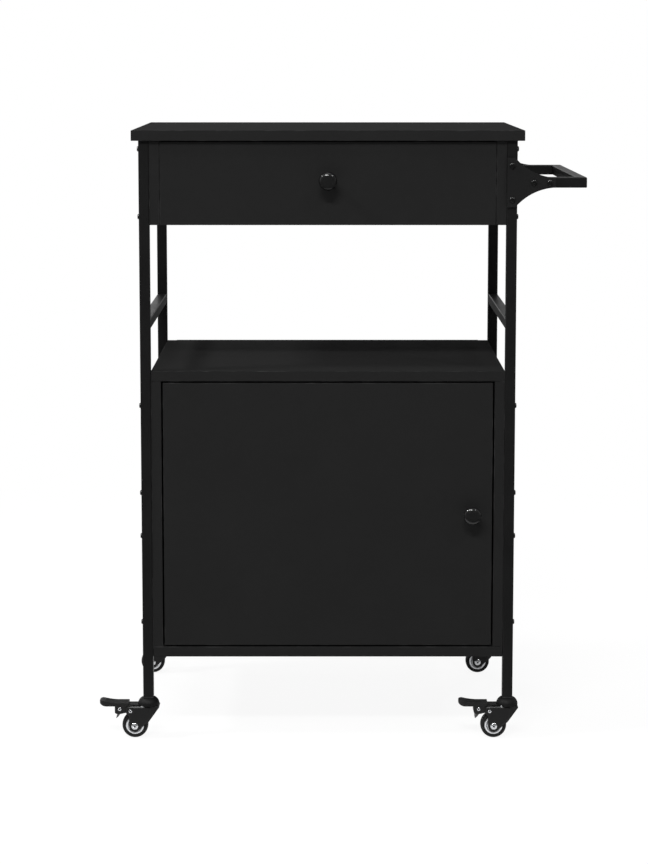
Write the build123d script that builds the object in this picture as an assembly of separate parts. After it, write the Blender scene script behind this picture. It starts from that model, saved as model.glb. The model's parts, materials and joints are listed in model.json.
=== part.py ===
from build123d import *
from math import hypot
import os

os.makedirs("parts", exist_ok=True)

# Kitchen trolley, in millimetres. X runs to the right, Y to the back and Z up from the floor.
# Everything is placed from the middle of the leg frame, and moved to the middle of the whole at the end.

# Frame of square steel tube, measured over the outsides of the legs
frame_width = 545
frame_depth = 350
tube = 15
tube_wall = 1.2
tube_corner = 1.5
rail_above_shelf = 68

# Boards
board = 15
edge_round = 0.8
worktop_height = 897
worktop_side_overhang = 10
worktop_end_overhang = 5
housing_height = 121.4
panel_setback = 1
shelf_end_gap = 1.5
shelf_back_step = 8
cabinet_floor_height = 123
cabinet_clear_height = 395
back_panel = 3
back_panel_gap = 0.5

# Door and its pivots
door_gap = 2.4
pivot_inset = 14
pivot_radius = 2.5
pivot_grip = 20
pivot_reach = 7.5
bush_radius = 4
bush_skin = 6
bush_flange_radius = 6
bush_flange_gap = 0.3

# Catch that holds the door shut
catch_length = 40
catch_depth = 13
catch_height = 12
catch_inset = 45
catch_gap = 0.7
catch_foot = 3
strike_thickness = 1
strike_length = 34
strike_height = 9
strike_drop = 1

# Drawer
drawer_side_gap = 1
drawer_top_gap = 3
drawer_back_gap = 18
drawer_side = 12
drawer_headroom = 32.4
drawer_lift = 9
drawer_base = 3
drawer_base_lift = 7
groove_depth = 5
groove_slack = 0.3

# Runners: three nested channels on each side of the drawer
runner_space = 12.7
runner_height = 35
runner_metal = 1.2
runner_play = 0.4
runner_front_gap = 2
middle_web_inset = 3.8
channel_lip_gap = 1

# Knobs
knob_radius = 13.5
knob_reach = 25
knob_foot_radius = 8
knob_neck_radius = 5.5
knob_neck_length = 10
knob_rim = 14.5
knob_swell = 0.3
knob_screw_radius = 2
knob_screw_grip = 10
knob_from_door_edge = 30
door_knob_above_middle = 2.5
drawer_knob_drop = 57

# Leg bolts and the inserts that they screw into: two to a housing side, two pairs to a cabinet side
housing_bolt_inset = 11.9
cabinet_outer_bolt_spread = 322.3
cabinet_inner_bolt_spread = 64.3
leg_bolt_radius = 2
leg_bolt_head_radius = 3.8
leg_bolt_head = 2.2
insert_radius = 3.5
insert_skin = 4

# Cam fittings that join the boards
cam_radius = 7.5
cam_floor = 2.6
cam_distance = 24
cam_inset = 54
back_cam_spread = 36
cam_thread_radius = 3.5
cam_thread_skin = 5
cam_rod_radius = 2.5
cam_head_radius = 3.3
cam_head_length = 3
cam_rod_room = 4

# Driver recesses and rounding of screw heads, as shares of the head's radius and height
slot_length = 1.2
slot_width = 0.28
slot_depth = 0.6
head_round = 0.7

# Wood screws
screw_radius = 1.6
screw_length = 12
screw_head_radius = 3.4
screw_head = 1.6
runner_screw_inset = 39
back_screw_inset = 42
catch_screw_inset = 8

# Push handle and its brackets
handle_drop = 60
handle_reach = 100
bracket_thickness = 3
bracket_height = 71
bracket_corner = 3.5
bracket_tip_margin = 0.5
bracket_waist = 35
bracket_waist_reach = 18.5
bracket_reach = 55
bracket_bolt_inset = 11
arm_bolt_inset = 8.5
arm_bolt_spacing = 23
handle_bolt_radius = 2.5
handle_bolt_head_radius = 4.3
handle_bolt_head = 2.6
handle_nut_radius = 4.6
handle_nut = 4
handle_bolt_proud = 1.5

# Casters. Heights of the fork and the swivel are above the top of the wheel.
wheel_radius = 19.25
wheel_width = 17
wheel_room = 1.2
tyre_depth = 5.45
tyre_shoulder = 3.5
hub_proud = 1.1
hub_play = 0.4
hub_core_radius = 8
hub_dish = 1.2
trail = 20
axle_radius = 3
axle_head_radius = 5.3
axle_head = 2.4
fork_plate = 2
fork_boss_radius = 8.5
fork_rise = 10.7
fork_web = 2
fork_lip = 1
fork_corner = 4
fork_heel_gap = 1.75
fork_heel_rise = 6.75
fork_ear_radius = 6.5
hat_radius = 17
hat_skirt = 4
hat_skirt_rise = 7.5
hat_height = 14.7
hat_crown_radius = 10
hat_bulge = 1.3
hat_wall = 2
collar = 1
collar_gap = 0.3
kingpin_radius = 4
kingpin_head_radius = 6.5
kingpin_head = 2.2
plug_length = 30
plug_slack = 0.1

# Brake pedal of the front casters. Reaches run out from the axle, and rises are above the top of the wheel.
pedal_pivot_reach = 6.2
pedal_pivot_rise = 3.5
pedal_pin_radius = 2
pedal_pin_proud = 0.7
pedal_hub_radius = 3.8
pedal_width = 20
pedal_tip_reach = 52
pedal_tread_reach = 9
pedal_heel_reach = 8
pedal_sole_rise = 11.8
pedal_bar = 2.6
pedal_tread = 3.6
pedal_curl = 3.4
pedal_under_round = 2.6
pedal_tip_length = 24
pedal_play = 0.4
pedal_lever_reach = 29.6
pedal_lever_front = 19
pedal_lever_drop = 1.5
pedal_lever_room = 2
pedal_shoe_reach = 6.75
pedal_shoe_rise = 11.25
pedal_shoe_root = 22
pedal_shoe = 1.4

# Clearances
fit = 0.05
hole_slack = 0.2

# Places that follow from the sizes
leg_x = (frame_width - tube) / 2
leg_y = (frame_depth - tube) / 2
panel_outer = frame_width / 2 - tube
panel_inner = panel_outer - board
panel_front = panel_setback - frame_depth / 2
panel_back = -panel_front
shelf_back = panel_back - shelf_back_step
front_inside = panel_front + board
worktop_under = worktop_height - board
housing_bottom = worktop_under - housing_height
cabinet_floor = cabinet_floor_height + board
cabinet_ceiling = cabinet_floor + cabinet_clear_height
shelf_top = cabinet_ceiling + board
cabinet_middle = (cabinet_floor + cabinet_ceiling) / 2
rail_height = shelf_top + rail_above_shelf
housing_back_front = panel_back - board
drawer_outer = panel_inner - runner_space
drawer_inner = drawer_outer - drawer_side
drawer_bottom_edge = housing_bottom + drawer_lift
drawer_top_edge = worktop_under - drawer_headroom
drawer_back_end = housing_back_front - drawer_back_gap
runner_front = front_inside + runner_front_gap
runner_middle_height = (drawer_bottom_edge + drawer_top_edge) / 2
door_left = door_gap - panel_inner
door_right = -door_left
door_low = cabinet_floor + door_gap
door_high = cabinet_ceiling - door_gap
pivot_x = door_left + pivot_inset
pivot_y = panel_front + board / 2
handle_start = frame_width / 2
handle_height = worktop_under - handle_drop
handle_end = handle_start + handle_reach
wheel_top = 2 * wheel_radius
tyre_inner_radius = wheel_radius - tyre_depth
hub_length = wheel_width + 2 * hub_proud
fork_inside = hub_length + 2 * hub_play
fork_outside = fork_inside + 2 * fork_plate
fork_top = wheel_top + fork_rise
hat_low = wheel_top + hat_skirt_rise
hat_shoulder = hat_low + hat_skirt
hat_top = hat_low + hat_height
leg_bottom = hat_top + collar_gap + collar
pedal_pivot_x = -trail - pedal_pivot_reach
pedal_pivot_height = wheel_top + pedal_pivot_rise
pedal_toe = -trail - pedal_tip_reach
pedal_tip = pedal_toe - leg_x
knob_front = panel_front - knob_reach
worktop_back = frame_depth / 2 + worktop_end_overhang
origin_x = (handle_end + pedal_tip) / 2
origin_y = (leg_y + hat_radius + knob_front) / 2

sides = {"left": -1, "right": 1}
corners = {
    "front_left": (-leg_x, -leg_y),
    "front_right": (leg_x, -leg_y),
    "rear_left": (-leg_x, leg_y),
    "rear_right": (leg_x, leg_y),
}
standing = (Align.CENTER, Align.CENTER, Align.MIN)
pieces = {}
cuts = {}
cam_bolts = []
cam_locks = []


def block(low, high):
    # A box between two corners
    size = [b - a for a, b in zip(low, high)]
    return Pos(*low) * Box(*size, align=(Align.MIN, Align.MIN, Align.MIN))


def eased_board(low, high):
    # A board with its edges slightly rounded
    plain = block(low, high)
    return fillet(plain.edges(), edge_round)


def rod(start, direction, radius, length):
    # A cylinder from a point along a direction
    return Plane(origin=start, z_dir=direction) * Cylinder(radius, length, align=standing)


def turned(*lines):
    # A round solid from a closed outline of radius and height
    return revolve(Plane.XZ * make_face(lines), Axis.Z)


def across(outline, width):
    # An outline seen from the front, given a width that is centred front to back
    return extrude(Plane.XZ * outline, width / 2, both=True)


def cross_slots(radius):
    # A cross-shaped driver recess, centred on the end of a screw or cam of that radius
    slot = Box(slot_length * radius, slot_width * radius, slot_depth * radius)
    return slot + Rot(0, 0, 90) * slot


def pan_screw(radius, length, head_radius, head_height):
    # A screw with a rounded head on +Z and its shank along -Z
    head = Cylinder(head_radius, head_height, align=standing)
    head = fillet(head.edges().group_by(Axis.Z)[-1], head_round * head_height)
    shank = Pos(0, 0, -length) * Cylinder(radius, length, align=standing)
    return head + shank - Pos(0, 0, head_height) * cross_slots(head_radius)


def wood_screw(seat, out):
    screw = pan_screw(screw_radius, screw_length, screw_head_radius, screw_head)
    return Plane(origin=seat, z_dir=out) * screw


def screw_hole(seat, out):
    return rod(seat, [-a for a in out], screw_radius + fit, screw_length + fit)


def group(solids):
    return Compound(list(solids))


def square_tube(length):
    # Tube standing on its end, with rounded outer corners
    bore = tube - 2 * tube_wall
    return extrude(RectangleRounded(tube, tube, tube_corner) - Rectangle(bore, bore), length)


def cut(name, *tools):
    # Holes are collected here and cut when every piece is made
    cuts.setdefault(name, []).extend(tools)


def cam_fitting(flat, upright, origin, along, face):
    # Joins a flat board to the end of another. The bolt screws into the flat board and runs along the
    # other one's middle to a cam, whose slotted end shows in the face that looks the given way.
    place = Plane(origin=origin, x_dir=face, z_dir=along)
    thread = board - cam_thread_skin
    depth = board - cam_floor
    bolt = Pos(0, 0, -thread) * Cylinder(cam_thread_radius, thread, align=standing)
    bolt += Cylinder(cam_rod_radius, cam_distance, align=standing)
    bolt += Pos(0, 0, cam_distance) * Cylinder(cam_head_radius, cam_head_length)
    seat = (board / 2 - depth, 0, cam_distance)
    lock = rod(seat, (1, 0, 0), cam_radius, depth)
    lock -= Cylinder(cam_head_radius + hole_slack, cam_distance + cam_head_length, align=standing)
    lock -= Plane(origin=(board / 2, 0, cam_distance), z_dir=(1, 0, 0)) * cross_slots(cam_radius)
    thread_hole = Pos(0, 0, -thread - fit) * Cylinder(cam_thread_radius + fit, thread + fit, align=standing)
    rod_hole = Cylinder(cam_rod_room, cam_distance, align=standing)
    lock_hole = rod((seat[0] - fit, 0, cam_distance), (1, 0, 0), cam_radius + fit, board)
    cam_bolts.append(place * bolt)
    cam_locks.append(place * lock)
    cut(flat, place * thread_hole)
    cut(upright, place * rod_hole, place * lock_hole)


def channel(web, lip, height):
    # A runner channel at the right: an upright web, with a lip at top and bottom
    low = runner_middle_height - height / 2
    high = runner_middle_height + height / 2
    inward = -1 if lip < web else 1
    hollow_edge = web + inward * runner_metal
    body = block((min(web, lip), runner_front, low), (max(web, lip), drawer_back_end, high))
    hollow = block(
        (min(hollow_edge, lip), runner_front, low + runner_metal),
        (max(hollow_edge, lip), drawer_back_end, high - runner_metal),
    )
    return body - hollow


def both_sides(shape):
    return [shape, mirror(shape, about=Plane.YZ)]


def knob():
    # A round knob on +Z: a foot, a slim neck and a domed cap
    neck_top = (knob_neck_radius, knob_neck_length)
    rim = (knob_radius, knob_rim)
    crown = knob_reach - knob_rim
    dome_radius = (knob_radius**2 + crown**2) / (2 * crown)
    body = turned(
        Line((0, 0), (knob_foot_radius, 0)),
        Line((knob_foot_radius, 0), neck_top),
        SagittaArc(neck_top, rim, -knob_swell),
        RadiusArc(rim, (0, knob_reach), -dome_radius),
        Line((0, knob_reach), (0, 0)),
    )
    return body - Cylinder(knob_screw_radius + fit, knob_screw_grip + hole_slack, align=standing)


def front_knob(front, x, z):
    # A knob on a front board, with the screw that holds it from behind
    cut(front, rod((x, front_inside, z), (0, -1, 0), knob_screw_radius + hole_slack, board))
    screw = pan_screw(knob_screw_radius, board + knob_screw_grip, screw_head_radius, screw_head)
    return (
        Plane(origin=(x, panel_front, z), z_dir=(0, -1, 0)) * knob(),
        Plane(origin=(x, front_inside, z), z_dir=(0, 1, 0)) * screw,
    )


# Worktop, and the housing that the drawer runs in
worktop_x = frame_width / 2 + worktop_side_overhang
pieces["worktop"] = eased_board(
    (-worktop_x, -worktop_back, worktop_under), (worktop_x, worktop_back, worktop_height)
)
for side, sign in sides.items():
    near, far = sorted((sign * panel_inner, sign * panel_outer))
    pieces[f"housing_side_{side}"] = eased_board(
        (near, panel_front, housing_bottom), (far, panel_back, worktop_under)
    )
    pieces[f"cabinet_side_{side}"] = eased_board(
        (near, panel_front, cabinet_floor), (far, panel_back, cabinet_ceiling)
    )
pieces["housing_back"] = eased_board(
    (-panel_inner, housing_back_front, housing_bottom), (panel_inner, panel_back, worktop_under)
)

# Cabinet: the top is the open shelf
shelf_x = panel_outer - shelf_end_gap
pieces["cabinet_top"] = eased_board(
    (-shelf_x, panel_front, cabinet_ceiling), (shelf_x, shelf_back, shelf_top)
)
pieces["cabinet_bottom"] = eased_board(
    (-shelf_x, panel_front, cabinet_floor_height), (shelf_x, shelf_back, cabinet_floor)
)
back_x = panel_inner - back_panel_gap
pieces["cabinet_back"] = block(
    (-back_x, shelf_back, cabinet_floor_height), (back_x, shelf_back + back_panel, shelf_top)
)

# Cam fittings: worktop to housing, housing back to housing sides, cabinet top and bottom to cabinet sides
for side, sign in sides.items():
    middle = sign * (panel_inner + board / 2)
    inward = (-sign, 0, 0)
    for y in (panel_front + cam_inset, panel_back - cam_inset):
        for flat, upright, level, up in (
            ("worktop", "housing_side", worktop_under, -1),
            ("cabinet_top", "cabinet_side", cabinet_ceiling, -1),
            ("cabinet_bottom", "cabinet_side", cabinet_floor, 1),
        ):
            cam_fitting(flat, f"{upright}_{side}", (middle, y, level), (0, 0, up), inward)
    for rise in (-back_cam_spread / 2, back_cam_spread / 2):
        origin = (sign * panel_inner, panel_back - board / 2, worktop_under - housing_height / 2 + rise)
        cam_fitting(f"housing_side_{side}", "housing_back", origin, inward, (0, 1, 0))

# Legs, with the rail between front and rear leg on each side of the open bay
for corner, (x, y) in corners.items():
    pieces[f"leg_{corner}"] = Pos(x, y, leg_bottom) * square_tube(worktop_under - leg_bottom)
rail_length = frame_depth - 2 * tube
rail = Plane(origin=(leg_x, -rail_length / 2, rail_height), z_dir=(0, 1, 0)) * square_tube(rail_length)
pieces["side_rails"] = group(both_sides(rail))

# Bolts through the legs into the housing and the cabinet
insert_length = board - insert_skin
leg_bolt = pan_screw(leg_bolt_radius, tube + insert_length, leg_bolt_head_radius, leg_bolt_head)
bolt_heights = {
    "housing_side": [worktop_under - housing_bolt_inset, housing_bottom + housing_bolt_inset],
    "cabinet_side": [
        cabinet_middle + up * spread / 2
        for spread in (cabinet_outer_bolt_spread, cabinet_inner_bolt_spread)
        for up in (1, -1)
    ],
}
leg_bolts = []
panel_inserts = []
for corner, (x, y) in corners.items():
    side = "left" if x < 0 else "right"
    out = (sides[side], 0, 0)
    inward = (-sides[side], 0, 0)
    for panel, heights in bolt_heights.items():
        for z in heights:
            seat = (sides[side] * frame_width / 2, y, z)
            mouth = (sides[side] * panel_outer, y, z)
            sleeve = rod(mouth, inward, insert_radius, insert_length)
            leg_bolts.append(Plane(origin=seat, z_dir=out) * leg_bolt)
            panel_inserts.append(sleeve - rod(mouth, inward, leg_bolt_radius + fit, insert_length))
            cut(f"leg_{corner}", rod(seat, inward, leg_bolt_radius + hole_slack, tube))
            cut(f"{panel}_{side}", rod(mouth, inward, insert_radius + fit, insert_length + fit))
pieces["leg_bolts"] = group(leg_bolts)
pieces["panel_inserts"] = group(panel_inserts)

# Drawer
drawer_x = panel_inner - drawer_side_gap
base_low = drawer_bottom_edge + drawer_base_lift
base_high = base_low + drawer_base
groove_x = drawer_inner + groove_depth
groove_front = front_inside - groove_depth
pieces["drawer_front"] = eased_board(
    (-drawer_x, panel_front, housing_bottom), (drawer_x, front_inside, worktop_under - drawer_top_gap)
)
for side, sign in sides.items():
    near, far = sorted((sign * drawer_inner, sign * drawer_outer))
    pieces[f"drawer_side_{side}"] = eased_board(
        (near, front_inside, drawer_bottom_edge), (far, drawer_back_end, drawer_top_edge)
    )
pieces["drawer_back"] = eased_board(
    (-drawer_inner, drawer_back_end - drawer_side, base_high + groove_slack),
    (drawer_inner, drawer_back_end, drawer_top_edge),
)
pieces["drawer_bottom"] = block(
    (groove_slack - groove_x, groove_front + groove_slack, base_low),
    (groove_x - groove_slack, drawer_back_end, base_high),
)
groove = block((-groove_x, groove_front, base_low), (groove_x, drawer_back_end, base_high + groove_slack))
for name in ("drawer_front", "drawer_side_left", "drawer_side_right"):
    cut(name, groove)
pieces["drawer_knob"], drawer_knob_screw = front_knob("drawer_front", 0, worktop_under - drawer_knob_drop)

# Runners: the outer channel on the housing, the inner one on the drawer and the middle one between them
middle_web = panel_inner - middle_web_inset
open_edge = drawer_outer + runner_metal + channel_lip_gap
middle_height = runner_height - 2 * (runner_metal + runner_play)
inner_height = middle_height - 2 * (runner_metal + runner_play)
inner_lip = middle_web - runner_metal - channel_lip_gap
outer_runner = channel(panel_inner, open_edge, runner_height)
inner_runner = channel(drawer_outer, inner_lip, inner_height)
wood_screws = []
drawer_screws = [drawer_knob_screw]
for y in (runner_front + runner_screw_inset, drawer_back_end - runner_screw_inset):
    outer_seat = (panel_inner - runner_metal, y, runner_middle_height)
    inner_seat = (drawer_outer + runner_metal, y, runner_middle_height)
    outer_hole = screw_hole(outer_seat, (-1, 0, 0))
    inner_hole = screw_hole(inner_seat, (1, 0, 0))
    outer_runner -= outer_hole
    inner_runner -= inner_hole
    wood_screws += both_sides(wood_screw(outer_seat, (-1, 0, 0)))
    drawer_screws += both_sides(wood_screw(inner_seat, (1, 0, 0)))
    for side, tool in zip(("right", "left"), both_sides(outer_hole)):
        cut(f"housing_side_{side}", tool)
    for side, tool in zip(("right", "left"), both_sides(inner_hole)):
        cut(f"drawer_side_{side}", tool)
pieces["outer_runners"] = group(both_sides(outer_runner))
pieces["middle_runners"] = group(both_sides(channel(middle_web, open_edge, middle_height)))
pieces["inner_runners"] = group(both_sides(inner_runner))
pieces["drawer_screws"] = group(drawer_screws)

# Door on a pivot pin at top and bottom, each in a flanged bush
pieces["door"] = eased_board((door_left, panel_front, door_low), (door_right, front_inside, door_high))
bush_length = board - bush_skin
door_pivots = []
hinge_bushes = []
for frame_board, level, edge, up in (
    ("cabinet_bottom", cabinet_floor, door_low, 1),
    ("cabinet_top", cabinet_ceiling, door_high, -1),
):
    start = (pivot_x, pivot_y, level - up * pivot_reach)
    mouth = (pivot_x, pivot_y, level)
    door_pivots.append(rod(start, (0, 0, up), pivot_radius, pivot_reach + door_gap + pivot_grip))
    cut("door", rod((pivot_x, pivot_y, edge), (0, 0, up), pivot_radius + fit, pivot_grip + fit))
    bush = rod(mouth, (0, 0, -up), bush_radius, bush_length)
    bush += rod(mouth, (0, 0, up), bush_flange_radius, door_gap - bush_flange_gap)
    bush_end = (pivot_x, pivot_y, level - up * bush_length)
    bush -= rod(bush_end, (0, 0, up), pivot_radius + fit, bush_length + door_gap)
    hinge_bushes.append(bush)
    cut(frame_board, rod(mouth, (0, 0, -up), bush_radius + fit, bush_length + fit))
pieces["door_pivots"] = group(door_pivots)
pieces["hinge_bushes"] = group(hinge_bushes)
pieces["door_knob"], pieces["door_knob_screw"] = front_knob(
    "door", door_right - knob_from_door_edge, cabinet_middle + door_knob_above_middle
)

# Magnetic catch under the cabinet top, and the plate on the door that it holds
catch_x = door_right - catch_inset
catch_front = front_inside + strike_thickness + catch_gap
catch = block(
    (catch_x - catch_length / 2, catch_front, cabinet_ceiling - catch_height),
    (catch_x + catch_length / 2, catch_front + catch_depth, cabinet_ceiling),
)
catch_screw_reach = catch_length / 2 - catch_screw_inset
for x in (catch_x - catch_screw_reach, catch_x + catch_screw_reach):
    seat = (x, catch_front + catch_depth / 2, cabinet_ceiling - catch_foot)
    catch -= rod(seat, (0, 0, -1), screw_head_radius + hole_slack, catch_height)
    catch -= screw_hole(seat, (0, 0, -1))
    wood_screws.append(wood_screw(seat, (0, 0, -1)))
    cut("cabinet_top", screw_hole(seat, (0, 0, -1)))
pieces["magnetic_catch"] = catch
strike_top = door_high - strike_drop
pieces["strike_plate"] = block(
    (catch_x - strike_length / 2, front_inside, strike_top - strike_height),
    (catch_x + strike_length / 2, front_inside + strike_thickness, strike_top),
)

# Screws through the cabinet back into the edges of the cabinet top and bottom
for x in (back_screw_inset - back_x, 0, back_x - back_screw_inset):
    for name, level in (("cabinet_top", cabinet_ceiling), ("cabinet_bottom", cabinet_floor_height)):
        seat = (x, shelf_back + back_panel, level + board / 2)
        wood_screws.append(wood_screw(seat, (0, 1, 0)))
        cut(name, screw_hole(seat, (0, 1, 0)))
        cut("cabinet_back", screw_hole(seat, (0, 1, 0)))
pieces["wood_screws"] = group(wood_screws)
pieces["cam_bolts"] = group(cam_bolts)
pieces["cam_locks"] = group(cam_locks)


def handle_bars(inset):
    # The U of the push handle, drawn in by a wall for its hollow
    half = tube / 2 - inset
    low, high = handle_height - half, handle_height + half
    end = handle_end - inset
    bars = block((end - 2 * half, -leg_y - half, low), (end, leg_y + half, high))
    for y in (-leg_y, leg_y):
        bars += block((handle_start, y - half, low), (end, y + half, high))
    return bars


# Push handle: a U of square tube on two bracket plates
handle = handle_bars(0)
handle = fillet([edge for edge in handle.edges() if edge.center().X > handle_start + fit], tube_corner)
pieces["handle"] = handle - handle_bars(tube_wall)

# One bracket plate, seen from the front: tall on the leg, curving in to the arm
bracket_top = bracket_height / 2
root = bracket_top - bracket_corner
waist = bracket_waist / 2
tip = tube / 2 - bracket_tip_margin
bracket_outline = [
    Polyline((0, -bracket_top), (0, bracket_top), (tube - bracket_corner, bracket_top), (tube, root)),
    ThreePointArc((tube, root), (tube + bracket_waist_reach, waist), (tube + bracket_reach, tip)),
    Line((tube + bracket_reach, tip), (tube + bracket_reach, -tip)),
    ThreePointArc((tube + bracket_reach, -tip), (tube + bracket_waist_reach, -waist), (tube, -root)),
    Polyline((tube, -root), (tube - bracket_corner, -bracket_top), (0, -bracket_top)),
]
bracket_face = Plane.XZ * Pos(panel_outer, handle_height) * make_face(bracket_outline)
outer_bolt = handle_start + bracket_reach - arm_bolt_inset
bolt_places = [
    (leg_x, handle_height + bracket_top - bracket_bolt_inset),
    (leg_x, handle_height - bracket_top + bracket_bolt_inset),
    (outer_bolt, handle_height),
    (outer_bolt - arm_bolt_spacing, handle_height),
]
bolt_length = bracket_thickness + tube + handle_nut + handle_bolt_proud
handle_bolt = pan_screw(handle_bolt_radius, bolt_length, handle_bolt_head_radius, handle_bolt_head)
hexagon = RegularPolygon(handle_nut_radius, 6)
handle_nut_blank = extrude(hexagon - Circle(handle_bolt_radius + fit), handle_nut)
handle_bolts = []
handle_nuts = []
for end, sign in (("front", -1), ("rear", 1)):
    face_y = sign * frame_depth / 2
    plate = Pos(0, face_y, 0) * extrude(bracket_face, bracket_thickness, dir=(0, sign, 0))
    pieces[f"handle_bracket_{end}"] = plate
    for x, z in bolt_places:
        seat = (x, face_y + sign * bracket_thickness, z)
        nut_seat = (x, face_y - sign * tube, z)
        handle_bolts.append(Plane(origin=seat, z_dir=(0, sign, 0)) * handle_bolt)
        handle_nuts.append(Plane(origin=nut_seat, z_dir=(0, -sign, 0)) * handle_nut_blank)
        hole = rod(seat, (0, -sign, 0), handle_bolt_radius + hole_slack, bracket_thickness + tube)
        cut(f"handle_bracket_{end}", hole)
        cut("handle" if x > handle_start else f"leg_{end}_right", hole)
pieces["handle_bolts"] = group(handle_bolts)
pieces["handle_nuts"] = group(handle_nuts)


def caster_stem():
    # A square plug in the leg's end, a collar under the leg and a headed kingpin that the hat turns on
    plug_size = tube - 2 * (tube_wall + plug_slack)
    stem = Pos(0, 0, leg_bottom) * extrude(Rectangle(plug_size, plug_size), plug_length)
    stem += Pos(0, 0, leg_bottom - collar) * extrude(RectangleRounded(tube, tube, tube_corner), collar)
    head_top = hat_top - hat_wall - collar_gap
    stem += rod((0, 0, head_top), (0, 0, 1), kingpin_radius, leg_bottom - head_top)
    return stem + rod((0, 0, head_top), (0, 0, -1), kingpin_head_radius, kingpin_head)


def fork_hat():
    # The domed hat over the swivel, open below, with the kingpin's hole in its crown
    bore = kingpin_radius + fit
    inside = hat_radius - hat_wall
    crown_inside = hat_crown_radius - hat_wall / 2
    return turned(
        Polyline((bore, hat_top), (bore, hat_top - hat_wall), (crown_inside, hat_top - hat_wall)),
        SagittaArc((crown_inside, hat_top - hat_wall), (inside, hat_shoulder), hat_bulge),
        Polyline(
            (inside, hat_shoulder), (inside, hat_low), (hat_radius, hat_low), (hat_radius, hat_shoulder)
        ),
        SagittaArc((hat_radius, hat_shoulder), (hat_crown_radius, hat_top), -hat_bulge),
        Line((hat_crown_radius, hat_top), (bore, hat_top)),
    )


def caster_fork(braked):
    # A pressed shell: two cheeks down to the axle, a web on top and a slanted wall at the back
    boss_left = -trail - fork_boss_radius
    boss_slope = fork_boss_radius / 2**0.5
    back = hat_radius - hat_wall / 2
    back_top = Vector(back, hat_low + fork_lip)
    back_low = Vector(wheel_radius - trail + fork_heel_gap, wheel_radius + fork_heel_rise)
    cheek = Polygon(
        (boss_left, wheel_radius), (boss_left, fork_top), (back, fork_top),
        back_top, back_low, (boss_slope - trail, wheel_radius - boss_slope),
        align=None,
    )
    cheek += Pos(-trail, wheel_radius) * Circle(fork_boss_radius)
    if braked:
        # Ears that carry the pedal's pins, clear of the sole when the pedal goes down
        cheek += Pos(pedal_pivot_x, pedal_pivot_height) * Circle(fork_ear_radius)
    shell = across(cheek, fork_outside)
    slant_middle = (back_top + back_low) / 2
    slanted = [
        edge for edge in shell.edges()
        if hypot(edge.center().X - slant_middle.X, edge.center().Z - slant_middle.Y) < fit
    ]
    shell = fillet(slanted, fork_corner)
    # The room inside, which leaves the cheeks, the web and the slanted wall
    slant = back_top - back_low
    wall_shift = fork_plate * slant.length / slant.Y
    roof = fork_top - fork_web
    room = Polygon(
        (pedal_toe, 0), (pedal_toe, roof),
        (back_low.X - wall_shift + slant.X / slant.Y * (roof - back_low.Y), roof),
        (back_low.X - wall_shift - slant.X / slant.Y * back_low.Y, 0),
        align=None,
    )
    shell -= across(room, fork_inside)
    shell -= across(Pos(-trail, wheel_radius) * Circle(wheel_radius + wheel_room), fork_inside)
    shell += fork_hat()
    shell -= across(Pos(-trail, wheel_radius) * Circle(axle_radius + fit), fork_outside)
    if braked:
        # The way through the web for the pedal's lever, and the holes for its pins
        slot_end = pedal_pivot_x + pedal_hub_radius + pedal_lever_room
        shell -= block((pedal_toe, -fork_inside / 2, roof), (slot_end, fork_inside / 2, hat_top))
        shell -= across(Pos(pedal_pivot_x, pedal_pivot_height) * Circle(pedal_pin_radius + fit), fork_outside)
    return shell


def on_axle(shape):
    # Turns a round piece from +Z to face the front, at the axle
    return Plane(origin=(-trail, 0, wheel_radius), z_dir=(0, -1, 0)) * shape


def caster_axle():
    bolt = Pos(0, 0, fork_outside / 2) * pan_screw(axle_radius, fork_outside, axle_head_radius, axle_head)
    far_head = Cylinder(axle_head_radius, axle_head, align=standing)
    return on_axle(bolt + Pos(0, 0, -fork_outside / 2 - axle_head) * far_head)


def wheel_tyre():
    tread = Cylinder(wheel_radius, wheel_width)
    tread = fillet(tread.edges().filter_by(GeomType.CIRCLE), tyre_shoulder)
    return on_axle(tread - Cylinder(tyre_inner_radius, wheel_width))


def wheel_hub():
    # A bored core, with a dished disc out to the tyre
    disc = wheel_width - 2 * hub_dish
    hub = Cylinder(hub_core_radius, hub_length) + Cylinder(tyre_inner_radius - fit, disc)
    return on_axle(hub - Cylinder(axle_radius + fit, hub_length))


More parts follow.
